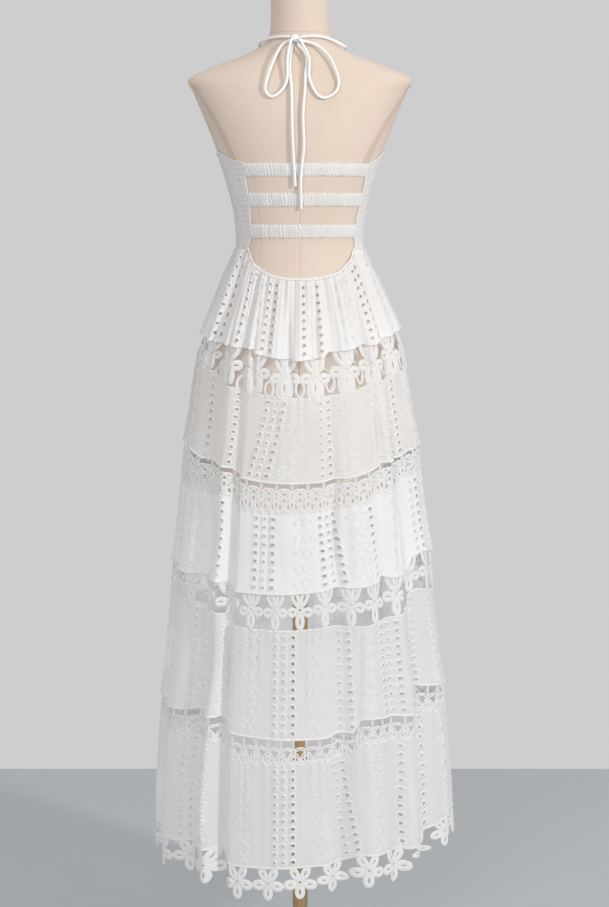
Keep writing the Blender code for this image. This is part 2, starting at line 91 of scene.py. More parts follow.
# Edges, mm: height at the back centre, rise to the side and tilt; then the steps where
# folds lift them: angle, lift
EDGES = {
    "tier_1_hem": (
        (1030, 44, 10), (-57, -9), (-41, -9), (-38, -3), (-18, 2), (-16, 4), (-13, -3), (4, -3),
        (7, 0), (24, 3), (27, 9), (44, 4), (60, 0),
    ),
    "tier_2_top": (
        (966, 40, 10), (-62, -7), (-17, -5), (6, 0), (39, 5), (46, 12), (55, 20), (87, 26),
    ),
    "tier_2_hem": (
        (822, 32, 10), (-62, 9), (-57, 2), (-42, 5), (-39, -1), (-16, -3), (19, 0), (31, 3),
        (35, 15), (55, 18), (70, 34),
    ),
    "tier_3_top": (
        (776, 30, 11), (-57, 14), (-52, 0), (-41, 1), (-37, 7), (-34, -6), (-9, -4), (31, -2),
        (35, 16), (60, 13),
    ),
    "tier_3_hem": (
        (638, 28, 14), (-87, 0), (-65, 16), (-58, 10), (-55, -12), (-41, -8), (-37, 0), (-34, -10),
        (-12, -3), (31, -4), (35, 8), (75, 8),
    ),
    "tier_4_top": (
        (573, 28, 16), (-79, 0), (-61, 17), (-57, 14), (-54, -12), (-30, -12), (-11, 0), (31, 3),
        (35, 20), (86, 38),
    ),
    "tier_4_hem": (
        (389, 27, 22), (-86, 5), (-57, 28), (-54, 30), (-51, -11), (-39, -2), (-27, 12), (-24, 14),
        (-21, -8), (-10, -6), (25, 5), (31, 8), (35, 30), (66, 24),
    ),
    "tier_5_top": (
        (345, 26, 23), (-83, 1), (-57, 30), (-54, 32), (-51, -8), (-40, 2), (-24, 19), (-21, -4),
        (-8, 0), (31, 4), (35, 36), (60, 34),
    ),
    "tier_5_hem": (
        (165, 12, 23), (-71, 20), (-58, 6), (-52, -11), (-40, -8), (-22, 6), (-17, -7), (-7, -1),
        (26, 4), (31, 8), (35, 30), (60, 28),
    ),
    "lace_5_hem": (
        (108, 12, 23), (-73, 28), (-52, 15), (-46, -8), (-41, -10), (-28, 4), (-18, 7), (-10, 2),
        (28, 4), (33, 26), (44, 30), (70, 31),
    ),
}

# Large folds: place and half width in degrees, depth at waist and at hem in mm
FOLDS = (
    (8, 11, 0, 4), (36.5, 5.5, -1, -22), (42, 8, 2, 15), (54, 7, -1, -15), (67, 9, 1, 10),
    (81, 8, 0, -11), (97, 10, 0, 10), (115, 9, 0, -15), (133, 10, 1, 11), (151, 9, 0, -17),
    (170, 10, 1, 10), (189, 10, 0, -12), (208, 10, 1, 12), (226, 9, 0, -14), (244, 10, 1, 10),
    (261, 8, 0, -12), (276, 8, 0, 8), (289, 8, 1, 11), (302, 6.5, -1, -14), (310, 5.5, 2, 7),
    (317.5, 5.5, -1, -11), (330, 8, 2, 13), (342.5, 7, -1, -20),
)
GATHERS = 46
FINE_GATHERS = 112
FINE_GATHER_DEPTH = 0.0017
GATHER_TOP = 0.0020
GATHER_HEM = 0.0034
HEM_FLARE = 0.005

# Panels that hang askew: tier, middle, half width, slant in degrees
SLANTS = {2: (17.0, 30.0, 11.0), 3: (-24.0, 24.0, -6.0), 5: (-20.0, 26.0, -6.0)}
HEM_LIFT = 0.20
TOP_LIFT = 0.08

# Soft creases: place and half width in degrees, depth in mm, upper and lower end in cm
CREASES = (
    (-48.5, 1.7, -11, 98, 56), (-40, 1.5, -9, 98, 81), (-18.5, 1.4, -9, 86, 60),
    (-22.5, 1.4, -8, 62, 34), (-52.5, 1.5, -9, 66, 34), (-40, 1.5, -8, 37, 13),
    (46, 9, -16, 66, 33), (44, 5, -9, 48, 20), (-17, 1.3, -6, 36, 13), (33.5, 1.6, -9, 98, 58),
    (32, 1.6, -8, 60, 36), (44, 6.5, -9, 100, 79), (46, 8.5, -12, 84, 60), (44, 1.6, -9, 80, 46),
    (37.5, 1.5, 7, 35, 12), (5.5, 1.3, -9, 114, 94), (-12, 1.2, -6, 116, 95),
    (25, 1.4, -9, 116, 94), (-39, 1.4, -9, 116, 94), (43, 1.4, -10, 117, 94),
    (58, 1.6, -8, 117, 94), (14, 1.5, 1.6, 113, 97), (27, 1.6, 2, 115, 95),
    (-8, 1.3, -1.6, 114, 98), (-22, 1.5, 2.2, 113, 99), (-35, 1.8, -2.4, 115, 95),
    (-1.5, 1.6, -1.8, 97, 83), (12, 2, -1.4, 96, 86), (-19.5, 1.6, 2.2, 96, 78),
    (-37, 2.2, 2.6, 97, 80), (36, 2, 2.4, 97, 80), (0.5, 1.5, 1.4, 77, 66),
    (10.5, 1.6, -1.6, 76, 60), (-24, 2, -2, 77, 62), (-44, 2, 2.6, 77, 58),
    (49, 2.4, 2.4, 76, 58), (17.5, 1.6, 1.6, 57, 42), (-1, 1.6, -1.4, 57, 40),
    (-14, 1.6, 1.8, 57, 44), (-29, 2, -2.4, 57, 36), (-50, 2.2, 2.8, 56, 38),
    (47, 2.4, -2.4, 57, 36), (18.5, 2, 1.8, 34, 18), (-2.5, 1.8, -1.6, 34, 16),
    (-14.5, 1.6, 1.6, 34, 22), (-25.5, 2, 2.4, 34, 15), (-41, 2, -2.6, 34, 14),
    (60, 2.4, 2.6, 34, 16), (75, 2.2, -2, 90, 30), (-75, 2.2, 2.2, 90, 30),
    (105, 2.4, 2.2, 110, 30), (124, 2, -2.2, 95, 40), (142, 2.4, 2.4, 110, 20),
    (160, 2, -2, 80, 16), (180, 2.4, 2.2, 110, 30), (199, 2.2, -2.4, 90, 16),
    (217, 2, 2, 100, 40), (235, 2.4, -2.2, 110, 20), (253, 2.2, 2.2, 80, 16),
)

# Tiers: columns of a half, eyelet rows, and the bands on the back: place in degrees,
# and how many eyelet columns it has, or DENSE for embroidery
DENSE = 0
TIERS = {
    1: (102, 9, (
        (41, 1), (34, 0), (22, 2), (-3.5, 1), (-12.8, 1), (-33, 0), (-50, 2), (60, 2), (-70, 1),
    )),
    2: (116, 10, (
        (57, 1), (38.5, 1), (18.6, 3), (4, 0), (-14.6, 2), (-25.5, 0), (-45, 0), (-57, 2), (73, 0),
        (-74, 0),
    )),
    3: (124, 9, (
        (72, 2), (60, 0), (42, 1), (18.6, 3), (-1.7, 0), (-14.8, 3), (-29.8, 0), (-37, 1),
        (-52.3, 0), (-66.7, 2), (-79, 0),
    )),
    4: (132, 12, (
        (72, 2), (54.6, 2), (36, 0), (22.8, 0), (8.1, 3), (-7, 0), (-20.3, 2), (-30, 0), (-42.7, 3),
        (-57.4, 2), (-72, 0),
    )),
    5: (140, 12, (
        (75, 0), (56, 2), (44.4, 0), (24.8, 0), (6.6, 3), (-9.1, 0), (-19.3, 2), (-32.7, 0),
        (-46, 1), (-57.8, 2), (-72, 0),
    )),
}
FRONT_BANDS = (0, 3, 0, 2, 0, 3, 0, 2, 0)
EYELET_SIZES = {1: (0.8,), 2: (0.9, 0.62), 3: (1.0, 0.68, 0.85)}
EYELET_HALF_WIDTH = 0.0043
EYELET_HALF_HEIGHT = 0.0032
RIM_WIDTH = 0.0023
RIM_HEIGHT = 0.0016
DOT_SIZE = 0.0019
DOT_RISE = 0.0008
FLOWER_PITCH = 0.0285

# Back straps: lower edge, upper edge, left end, right end, ridges
STRAPS = (
    (1.338, 1.3605, 43.7, -58.8, 23),
    (1.287, 1.3100, 46.2, -60.4, 21),
    (1.233, 1.2560, 49.0, -58.8, 20),
)
SIDE_EDGE = np.array((
    (1.2138, 57, -61), (1.233, 50.8, -60), (1.256, 49.4, -59.2), (1.287, 47.2, -60.8),
    (1.31, 46.6, -60.8), (1.338, 45.2, -59.2), (1.362, 44, -59.2),
))
SIDE_TOP_BACK = 1.3625
SIDE_TOP = 1.3795
SIDE_FRONT = 104.0
FRONT_TOP = np.array((
    (0, 1.392), (9, 1.414), (17, 1.452), (20.7, 1.462), (25, 1.453), (42, 1.408), (58, 1.387),
    (76, 1.3795),
))

# Bow at the nape, as in the solids
KNOT_X = 0.007
KNOT_HEIGHT = 1.571
KNOT_SIZE = (0.0085, 0.0068, 0.0075)
KNOT_OUT = KNOT_SIZE[1] + 0.0005
KNOT_EXITS = {
    "neck_tie_left": ((1.0, -0.35, 0.25), None),
    "neck_tie_right": ((-1.0, -0.35, 0.25), None),
    "bow_loop_left": ((1.0, 0.25, -0.35), (0.55, 0.80, -0.20)),
    "bow_loop_right": ((-1.0, 0.25, -0.35), (-0.55, 0.80, -0.20)),
    "tie_end_left": ((0.45, -0.05, -1.0), None),
    "tie_end_right": ((-0.45, -0.05, -1.0), None),
}
EXIT_STRAIGHT = 0.005
KNOT_GAP = 0.0008

# Cord routes, mm: x, height, distance of the cord's axis off the form
CORDS = {
    "bow_loop_left": (
        (32, 1558, 11), (45, 1532, 13), (56, 1500, 10), (58.5, 1484, 7), (53, 1474, 6),
        (45, 1472, 6), (31, 1482, 7), (22, 1500, 9), (21, 1535, 15), (17, 1558, 20),
    ),
    "bow_loop_right": (
        (-30, 1559, 11), (-51, 1538, 11), (-65, 1505, 8), (-64, 1485, 6), (-52, 1473, 6),
        (-38, 1470, 6), (-26, 1480, 6), (-16, 1505, 8), (-16, 1535, 15), (-6, 1558, 20),
    ),
    "tie_end_left": (
        (15.5, 1545, 6), (17, 1518, 6), (14, 1484, 6.5), (13, 1432, 7), (12, 1398, 7),
        (10, 1364, 7.5), (7.7, 1321, 7.5),
    ),
    "tie_end_right": (
        (-9, 1546, 6), (-12, 1532, 6), (-9.5, 1510, 6), (-8.7, 1484, 6.5), (-5.5, 1440, 7),
        (-7, 1389, 7), (-2.6, 1346, 7.5), (-1.7, 1313, 7.5), (-2.6, 1283, 7.5),
    ),
}

# Neck ties: angle round the form, height in mm
NECK_TIES = {
    "neck_tie_left": (
        (37, 1573), (60, 1570), (88, 1564), (118, 1556), (146, 1537), (159, 1510), (160.5, 1490),
        (159.3, 1463.3),
    ),
    "neck_tie_right": (
        (-20, 1574), (-40, 1572.5), (-62, 1566), (-78, 1557), (-105, 1554), (-135, 1546),
        (-149, 1533), (-159.5, 1510), (-160.5, 1490), (-159.3, 1463.3),
    ),
}
NECK_TIE_OUT = 0.0052

# Camera, from the photo's outline of the form and the drop of the hem
CAMERA_PLACE = (-0.0079, 3.7, 1.37)
CAMERA_PITCH = 6.9
FOCAL_PIXELS = 2105.0
PHOTO_HEIGHT = 907.0


def table(rows, keys):
    """Smooth values of every further column of a table, as columns."""
    keys = np.clip(np.asarray(keys, float), rows[0, 0], rows[-1, 0])
    index = np.clip(np.searchsorted(rows[:, 0], keys, side="right") - 1, 0, len(rows) - 2)
    low = rows[index]
    high = rows[index + 1]
    before = rows[np.maximum(index - 1, 0)]
    after = rows[np.minimum(index + 2, len(rows) - 1)]
    span = (high[:, 0] - low[:, 0])[:, None]
    step = (keys[:, None] - low[:, :1]) / span
    slope_low = (high[:, 1:] - before[:, 1:]) / (high[:, :1] - before[:, :1]) * span
    slope_high = (after[:, 1:] - low[:, 1:]) / (after[:, :1] - low[:, :1]) * span
    square = step * step
    cube = square * step
    values = (
        (2 * cube - 3 * square + 1) * low[:, 1:]
        + (cube - 2 * square + step) * slope_low
        + (3 * square - 2 * cube) * high[:, 1:]
        + (cube - square) * slope_high
    )
    return values.T


def sine(degrees):
    """Sine of an angle in degrees."""
    return np.sin(np.radians(degrees))


def cosine(degrees):
    """Cosine of an angle in degrees."""
    return np.cos(np.radians(degrees))


def turned(angle):
    """Angles wrapped to between -180 and 180 degrees."""
    return (angle + 180.0) % 360.0 - 180.0


def bump(distance, half_width):
    """Rounded hills, one at the middle and zero past the half width."""
    share = np.clip(np.abs(distance) / half_width, 0.0, 1.0)
    return np.cos(math.pi / 2 * share) ** 2


def oval_points(radians, sides, depths, height, out):
    """Points round an oval, moved out along its normal."""
    side = np.where(np.sin(radians) > 0, *sides)
    depth = np.where(np.cos(radians) > 0, *depths)
    nx = np.sin(radians) / side
    ny = np.cos(radians) / depth
    size = np.hypot(nx, ny)
    x = side * np.sin(radians) + nx / size * out
    y = depth * np.cos(radians) + ny / size * out
    return np.stack((x, y, height + DATUM), axis=1)


def form_points(angle, height, out):
    """Points on the dress form, moved out."""
    width, *depths = table(FORM, height)
    return oval_points(np.radians(angle), (width, width), depths, height, out)


def ovalled(angle):
    """Angles of the oval ring for angles read on a round one."""
    return angle + math.degrees(OVAL) * sine(2 * angle)


def folds(angle, height):
    """How far folds and creases move the skirt out."""
    down = np.clip((WAIST - height) / (WAIST - 0.10), 0.0, 1.0)
    move = np.zeros_like(angle)
    for place, half_width, at_waist, at_hem in FOLDS:
        hill = bump(turned(angle - place), half_width)
        move += hill * (at_waist + (at_hem - at_waist) * down ** 0.8) / 1000
    for place, half_width, depth, high, low in CREASES:
        reach = bump(height - (high + low) / 200, (high - low) / 200)
        sway = 2.5 * np.sin((height - low / 100) * 9.0 + place)
        move += depth / 1000 * reach * bump(turned(angle - ovalled(place) - sway), half_width * 1.6)
    return move


def skirt_points(angle, height, out):
    """Points on the skirt, folds included."""
    left, right, *depths = table(SKIRT, height)
    radians = np.radians(angle) - OVAL * np.sin(2 * np.radians(angle))
    return oval_points(radians, (left, right), depths, height, out + folds(angle, height))


def edge_height(name, angle):
    """Heights of a tier's edge."""
    first, *steps = EDGES[name]
    centre, rise, tilt = np.array(first) / 1000
    steps = np.array(steps, float)
    angle = turned(angle)
    side = sine(np.minimum(np.abs(angle), 90.0)) ** 2
    lift = np.interp(angle, ovalled(steps[:, 0]), steps[:, 1]) / 1000.0
    lift = lift * bump(np.maximum(np.abs(angle) - 88.0, 0.0), 45.0)
    return centre + rise * side - tilt * sine(angle) + lift


def u_height(angle):
    """Heights of tier 1's upper edge."""
    angle = turned(angle)
    reach = np.where(angle > 0, U_LEFT, U_RIGHT)
    share = np.minimum(np.abs(angle) / reach, 1.0)
    return WAIST - U_DEPTH * (1.0 - share ** U_POWER)


def ripple(angle, share, count, height, seed):
    """Small uneven gathers, strongest under the seam at share 0."""
    phase = np.radians(angle) * count
    phase = phase + 2.2 * np.sin(np.radians(angle) * 7 + seed)
    phase = phase + 1.3 * np.sin(np.radians(angle) * 17 + seed * 2)
    fade = np.exp(-share * 2.6)
    return height * np.cos(phase) * (0.25 + 0.75 * fade)


class Cloth:
    """Mesh made of points given as angle, share down and distance out."""

    def __init__(self):
        self.points = []
        self.faces = []
        self.kinds = []
        self.count = 0

    def add(self, angle, share, out, faces, kind=0):
        """Add points and the faces between them, with the material that they take."""
        block = np.stack((np.ravel(angle), np.ravel(share), np.ravel(out)), axis=1)
        self.points.append(block)
        self.faces.append(faces + self.count)
        self.kinds.append(np.broadcast_to(kind, len(faces)))
        self.count += len(block)

    def halve(self):
        """Split every four-cornered face into four, level with its own corners."""
        points = np.concatenate(self.points)
        faces = np.concatenate(self.faces)
        kinds = np.concatenate(self.kinds)
        quads = faces[:, 2] != faces[:, 3]
        corners = points[faces[quads]]
        a, b, c, d = (corners[:, index] for index in range(4))
        rows = np.stack((
            a, (a + b) / 2, b, (a + d) / 2, (a + b + c + d) / 4, (b + c) / 2, d, (c + d) / 2, c,
        ), axis=1)
        pattern = np.array(((0, 1, 4, 3), (1, 2, 5, 4), (3, 4, 7, 6), (4, 5, 8, 7)))
        start = len(points) + np.arange(len(rows))[:, None, None] * 9
        split = (start + pattern[None]).reshape(-1, 4)
        self.points = [points, rows.reshape(-1, 3)]
        self.faces = [faces[~quads], split]
        self.kinds = [kinds[~quads], np.repeat(kinds[quads], 4)]

    def build(self, name, surface, *materials):
        """Make the object, with points that no face uses left out."""
        points = np.concatenate(self.points)
        faces = np.concatenate(self.faces)
        used, renumbered = np.unique(faces, return_inverse=True)
        faces = renumbered.reshape(faces.shape)
        points = points[used]
        places = surface(points[:, 0], points[:, 1], points[:, 2])
        return make_object(name, places, faces, materials, np.concatenate(self.kinds))


def make_object(name, places, faces, materials, kinds=None):
    """Smooth mesh object from points and four-cornered faces, some with a corner twice."""
    mesh = bpy.data.meshes.new(name)
    rows = [row[:3] if row[2] == row[3] else row for row in faces.tolist()]
    mesh.from_pydata(places.tolist(), [], rows)
    if kinds is not None:
        mesh.polygons.foreach_set("material_index", kinds.astype(np.int32))
    mesh.validate()
    shell = bmesh.new()
    shell.from_mesh(mesh)
    bmesh.ops.remove_doubles(shell, verts=shell.verts, dist=0.00002)
    bmesh.ops.recalc_face_normals(shell, faces=shell.faces)
    shell.to_mesh(mesh)
    shell.free()
    mesh.shade_smooth()
    piece = bpy.data.objects.new(name, mesh)
    for material in materials:
        piece.data.materials.append(material)
    bpy.context.scene.collection.objects.link(piece)
    return piece


def dress(piece, node):
    """Let a piece ride on the root body in place of a solid."""
    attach(piece, "root")
    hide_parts(node)


def grid_faces(columns, rows, keep=None):
    """Faces of a grid of points, row by row inside each column."""
    column, row = np.meshgrid(np.arange(columns), np.arange(rows), indexing="ij")
    first = column * (rows + 1) + row
    faces = np.stack((first, first + 1, first + rows + 2, first + rows + 1), axis=-1)
    if keep is not None:
        faces = faces[keep]
    return faces.reshape(-1, 4)


def grid_shares(columns, rows):
    """Shares along and down of a grid's points."""
    return np.meshgrid(
        np.arange(columns + 1) / columns, np.arange(rows + 1) / rows, indexing="ij"
    )


def ring_faces(blocks, sides, rings, cap=False):
    """Faces between the rings of many blocks of points, and over the last ring."""
    block = np.arange(blocks)[:, None] * (sides * rings + cap)
    side = np.arange(sides)
    after = (side + 1) % sides
    faces = []
    for ring in range(rings - 1):
        low = block + ring * sides
        high = low + sides
        faces.append(np.stack((low + side, low + after, high + after, high + side), axis=-1))
    if cap:
        top = block + sides * rings + 0 * side
        faces.append(np.stack((high + side, high + after, top, top), axis=-1))
    return np.concatenate([item.reshape(-1, 4) for item in faces])


def oval(angle, share, half_sizes, turn, out, scale, sides):
    """Turned ovals at many spots: half sizes along and down, in metres."""
    around = np.arange(sides) * 2 * math.pi / sides
    radians = math.radians(turn)
    x = np.cos(around) * half_sizes[0]
    y = np.sin(around) * half_sizes[1]
    along = x * math.cos(radians) - y * math.sin(radians)
    down = x * math.sin(radians) + y * math.cos(radians)
    angles = angle[:, None] + along / scale[0]
    return np.stack((angles, share[:, None] + down / scale[1], 0 * angles + out), axis=-1)


def add_blocks(cloth, spots, sides, rings, cap=False):
    """Add the rings of points of many small satin shapes."""
    block = np.concatenate(spots, axis=1)
    faces = ring_faces(len(block), sides, rings, cap)
    cloth.add(block[..., 0], block[..., 1], block[..., 2], faces, 1)


def add_dots(cloth, angle, share, scale, sides=6):
    """Low satin domes that are longer down than across."""
    spots = [
        oval(angle, share, (1.3 * DOT_SIZE * size, DOT_SIZE * size), 90.0, lift, scale, sides)
        for size, lift in ((1.0, -0.0002), (0.62, 0.8 * DOT_RISE))
    ]
    spots.append(np.stack((angle, share, 0 * angle + DOT_RISE), axis=1)[:, None, :])
    add_blocks(cloth, spots, sides, 2, cap=True)


def add_loops(cloth, angle, share, outer, slit, turn, scale, sides=16, rise=0.0012):
    """Satin loops round a slit: half sizes of the outline and of the slit, in metres."""
    outer, slit = np.array(outer), np.array(slit)
    add_blocks(cloth, [
        oval(angle, share, outer + (slit - outer) * inward, turn, lift * rise, scale, sides)
        for inward, lift in ((0.0, -0.15), (0.18, 0.75), (0.6, 1.0), (1.0, 0.1))
    ], sides, 4)


def add_grid(cloth, start, end, top, low, columns, rows, out=0.0):
    """Plain grid of cloth between two angles and two shares."""
    along, down = grid_shares(columns, rows)
    angle = start + (end - start) * along
    share = top + (low - top) * down
    cloth.add(angle, share, np.broadcast_to(out, angle.shape), grid_faces(columns, rows))


def add_ridge(cloth, start, end, share, half_height, rise, columns, height):
    """Narrow rolled edge or seam that stands proud along one share."""
    profile = np.array((-1.0, -0.7, 0.0, 0.7, 1.0))
    lift = np.array((-0.0002, 0.75 * rise, rise, 0.75 * rise, -0.0002))
    along, down = grid_shares(columns, 4)
    angle = start + (end - start) * along
    shares = share + profile[None, :] * half_height / height + 0 * down
    cloth.add(angle, shares, lift[None, :] + 0 * down, grid_faces(columns, 4), 1)


def arc_length(surface, start, end, share):
    """Length of cloth between two angles at one share."""
    angle = np.linspace(start, end, 1500)
    points = surface(angle, np.full(1500, share), np.zeros(1500))
    return float(np.linalg.norm(np.diff(points, axis=0), axis=1).sum())


def risen_edge(name, angle, share):
    """Heights of an edge that rises where the cloth is folded in."""
    height = edge_height(name, angle)
    return height - share * np.minimum(folds(angle, height), 0.0)


def tier_edges(number, angle):
    """Heights of a tier's upper edge and hem."""
    hem = risen_edge("tier_%d_hem" % number, angle, HEM_LIFT)
    if number == 1:
        return u_height(angle), hem
    return risen_edge("tier_%d_top" % number, angle, TOP_LIFT), hem


def tier_surface(number, angle, share, out):
    """Surface of one tier: angle, share down from its upper edge, distance out."""
    if number in SLANTS:
        middle, reach, slant = SLANTS[number]
        angle = angle + slant * (share - 0.5) * bump(turned(angle - middle), reach)
    upper, hem = tier_edges(number, angle)
    height = upper * (1.0 - share) + hem * share
    down = np.clip(share, 0.0, 1.0)
    if number < 5:
        out = out + HEM_FLARE * down ** 4
    if number == 1:
        fine = cosine(angle * GATHERS)
        bend = 40.0 * sine(angle * 5)
        wide = cosine(angle * GATHERS / 2 + bend)
        out = out + GATHER_TOP * (1.0 - down) ** 0.7 * fine
        out = out + GATHER_HEM * np.sin(down * math.pi * 0.62) ** 1.2 * wide
        phase = np.radians(angle * FINE_GATHERS) + 1.6 * sine(angle * 19.0)
        out = out + FINE_GATHER_DEPTH * np.cos(phase) * (1.0 - 0.75 * down)
    else:
        out = out + ripple(angle, down, 70 + 6 * number, 0.0012, number * 1.7)
    return skirt_points(angle, height, out)


def lace_edges(number, angle):
    """Heights of a lace's upper and lower edges."""
    top = tier_edges(number, angle)[1]
    if number < 5:
        return top, tier_edges(number + 1, angle)[0]
    return top, risen_edge("lace_5_hem", angle, HEM_LIFT)


def level_flowers(block, number, centre):
    """Points of flowers that keep their shape where the edges step."""
    top, low = lace_edges(number, np.repeat(centre, len(block) // len(centre)))
    height = top * (1.0 - block[:, 1]) + low * block[:, 1]
    top, low = lace_edges(number, block[:, 0])
    share = (top - height) / (top - low)
    blend = np.clip(block[:, 1] / 0.35, 0.0, 1.0)
    return np.stack((block[:, 0], block[:, 1] + (share - block[:, 1]) * blend, block[:, 2]), axis=1)


def lace_surface(number, angle, share, out):
    """Surface of the lace under a tier."""
    top, low = lace_edges(number, angle)
    height = top * (1.0 - share) + low * share
    down = np.clip(share, 0.0, 1.0)
    out = out + LACE_TOPS[number] * (1.0 - down) ** 3
    return skirt_points(angle, height, out)


def half_angles(half):
    """First and last angle of a half."""
    return (-89.95, 89.95) if half == "back" else (90.05, 269.95)


def dense_band(cloth, angle, scale, seed):
    """Embroidered strip: a chain of four-petalled flowers, leaves at both sides."""
    per_degree, height = scale
    count = max(int(round((height - 0.008) / FLOWER_PITCH)), 1)
    step = (height - 0.008) / count
    middle = (0.004 + step * (np.arange(count) + 0.5)) / height
    place = angle + 0.0006 / per_degree * np.sin(middle * 30.0 + seed)
    add_loops(cloth, place, middle, (0.0026, 0.0026), (0.0010, 0.0010), 0.0, scale, 8, 0.0010)
    for side, rise in ((-1, -1), (-1, 1), (1, -1), (1, 1)):
        spot = place + side * 0.0052 / per_degree
        down = middle + rise * 0.0062 / height
        add_loops(
            cloth, spot, down, (0.0066, 0.0032), (0.0046, 0.0014), 52.0 * side * rise,
            scale, 10, 0.0010,
        )
    edge = (np.arange(count * 4) + 0.5) / (count * 4) * (1.0 - 0.008 / height) + 0.004 / height
    for side in (-1, 1):
        sway = 0.0011 * np.sin(np.arange(count * 4) * math.pi / 2 + seed)
        dots = angle + (side * 0.0117 + sway) / per_degree
        add_dots(cloth, dots, edge, scale)
        for rise in (-1, 1):
            spot = place + side * 0.0152 / per_degree
            down = middle + rise * 0.0020 / height
            add_loops(
                cloth, spot, down, (0.0040, 0.0020), (0.0021, 0.0006), -32.0 * side * rise,
                scale, 8, 0.0011,
            )


def build_tier(number, half):
    """One half of a tier, with its eyelets cut and its embroidery raised."""
    columns, rows, bands = TIERS[number]
    start, end = half_angles(half)
    surface = partial(tier_surface, number)
    width = arc_length(surface, start, end, 0.55)
    height = tier_height(number)
    per_degree = width / (end - start)
    scale = (per_degree, height)
    if half == "front":
        spread = (end - start) / len(FRONT_BANDS)
        bands = [(start + spread * (index + 0.5), kind) for index, kind in enumerate(FRONT_BANDS)]
    lines = rows * 3 + 2
    cell = (end - start) / columns
    keep = np.ones((columns, lines), bool)
    blocks = []
    cloth = Cloth()
    for place, kind in bands:
        if kind == DENSE:
            dense_band(cloth, place, scale, number + place)
            continue
        sizes = EYELET_SIZES[kind]
        first = int(round((place - start) / cell - len(sizes) * 1.5))
        for order, size in enumerate(sizes):
            left = first + order * 3
            if left < 1 or left + 3 > columns - 1 or not keep[left:left + 3].all():
                continue
            keep[left:left + 3, 1:lines - 1] = False
            for row in range(rows):
                blocks.append((left, 1 + row * 3, size))
    along, down = grid_shares(columns, lines)
    cloth.add(start + (end - start) * along, down, 0 * down, grid_faces(columns, lines, keep))
    if blocks:
        add_eyelets(cloth, np.array(blocks), start, cell, lines, per_degree, height)
    edge_columns = columns * 2
    add_ridge(cloth, start, end, 1.0 - 0.0016 / height, 0.0016, 0.0008, edge_columns, height)
    if number > 1:
        add_ridge(cloth, start, end, 0.0016 / height, 0.0016, 0.0009, edge_columns, height)
    if number == 1:
        cloth.halve()
    # Tiers 1 and 3 take a copy of the voile that lets less light through and so looks brighter:
    # painted light
    voile = cotton_painted_light if number in (1, 3) else cotton
    piece = cloth.build("cloth_tier_%d_%s" % (number, half), surface, voile, embroidery)
    dress(piece, "tier_%d_%s" % (number, half))


def add_eyelets(cloth, blocks, start, cell, lines, per_degree, height):
    """Cut eyelets with raised satin rims, each in three by three cells."""
    border = np.array((
        (0, 0), (1, 0), (2, 0), (3, 0), (3, 1), (3, 2),
        (3, 3), (2, 3), (1, 3), (0, 3), (0, 2), (0, 1),
    ), float)
    left = blocks[:, 0][:, None]
    top = blocks[:, 1][:, None]
    size = blocks[:, 2][:, None]
    wide = cell * per_degree
    high = height / lines
    turn = np.arctan2((border[:, 1] - 1.5) * high, (border[:, 0] - 1.5) * wide)
    rings = [(left + border[:, 0], top + border[:, 1], 0.0 * (left + border[:, 0]))]
    wobble = 0.10 * np.sin(left * 1.7 + top * 0.9)
    for extra, lift in ((1.0, 0.0), (0.55, 0.9), (0.15, 1.0), (0.0, 0.2)):
        a = (EYELET_HALF_WIDTH * size * (1.0 + wobble) + RIM_WIDTH * extra) / wide
        b = (EYELET_HALF_HEIGHT * size * (1.0 - wobble) + RIM_WIDTH * extra) / high
        x = left + 1.5 + np.minimum(a, 1.47) * np.cos(turn)
        y = top + 1.5 + np.minimum(b, 1.47) * np.sin(turn)
        rings.append((x, y, lift * RIM_HEIGHT + 0.0 * x))
    x, y, out = (np.concatenate(part, axis=1) for part in zip(*rings))
    faces = ring_faces(len(blocks), 12, 5)
    rim = np.arange(len(faces)) >= len(blocks) * 12
    cloth.add(start + x * cell, y / lines, out, faces, rim.astype(int))


def centre_height(name):
    """Height of an edge at the back centre."""
    return EDGES[name][0][0] / 1000


def tier_height(number):
    """Height of a tier at the back centre."""
    top = WAIST - U_DEPTH if number == 1 else centre_height("tier_%d_top" % number)
    return top - centre_height("tier_%d_hem" % number)


def lace_height(number):
    """Height of a lace at the back centre."""
    low = "lace_5_hem" if number == 5 else "tier_%d_top" % (number + 1)
    return centre_height("tier_%d_hem" % number) - centre_height(low)


# How far a lace's top stands out, inside the hem over it
LACE_TOPS = {1: -0.0030, 2: 0.0012, 3: 0.0008, 4: 0.0012, 5: -0.0022}

# Star laces: lean of the upper petals, half width of the bottom petal, its slit
STARS = {1: (24.0, 0.0150, 0.0016), 3: (22.0, 0.0092, 0.0012), 5: (34.0, 0.0106, 0.0018)}
TUCKED = {1: 0.010, 3: 0.009, 5: 0.002}
LACE_COUNTS = {1: 10, 2: 22, 3: 15, 4: 32, 5: 13}


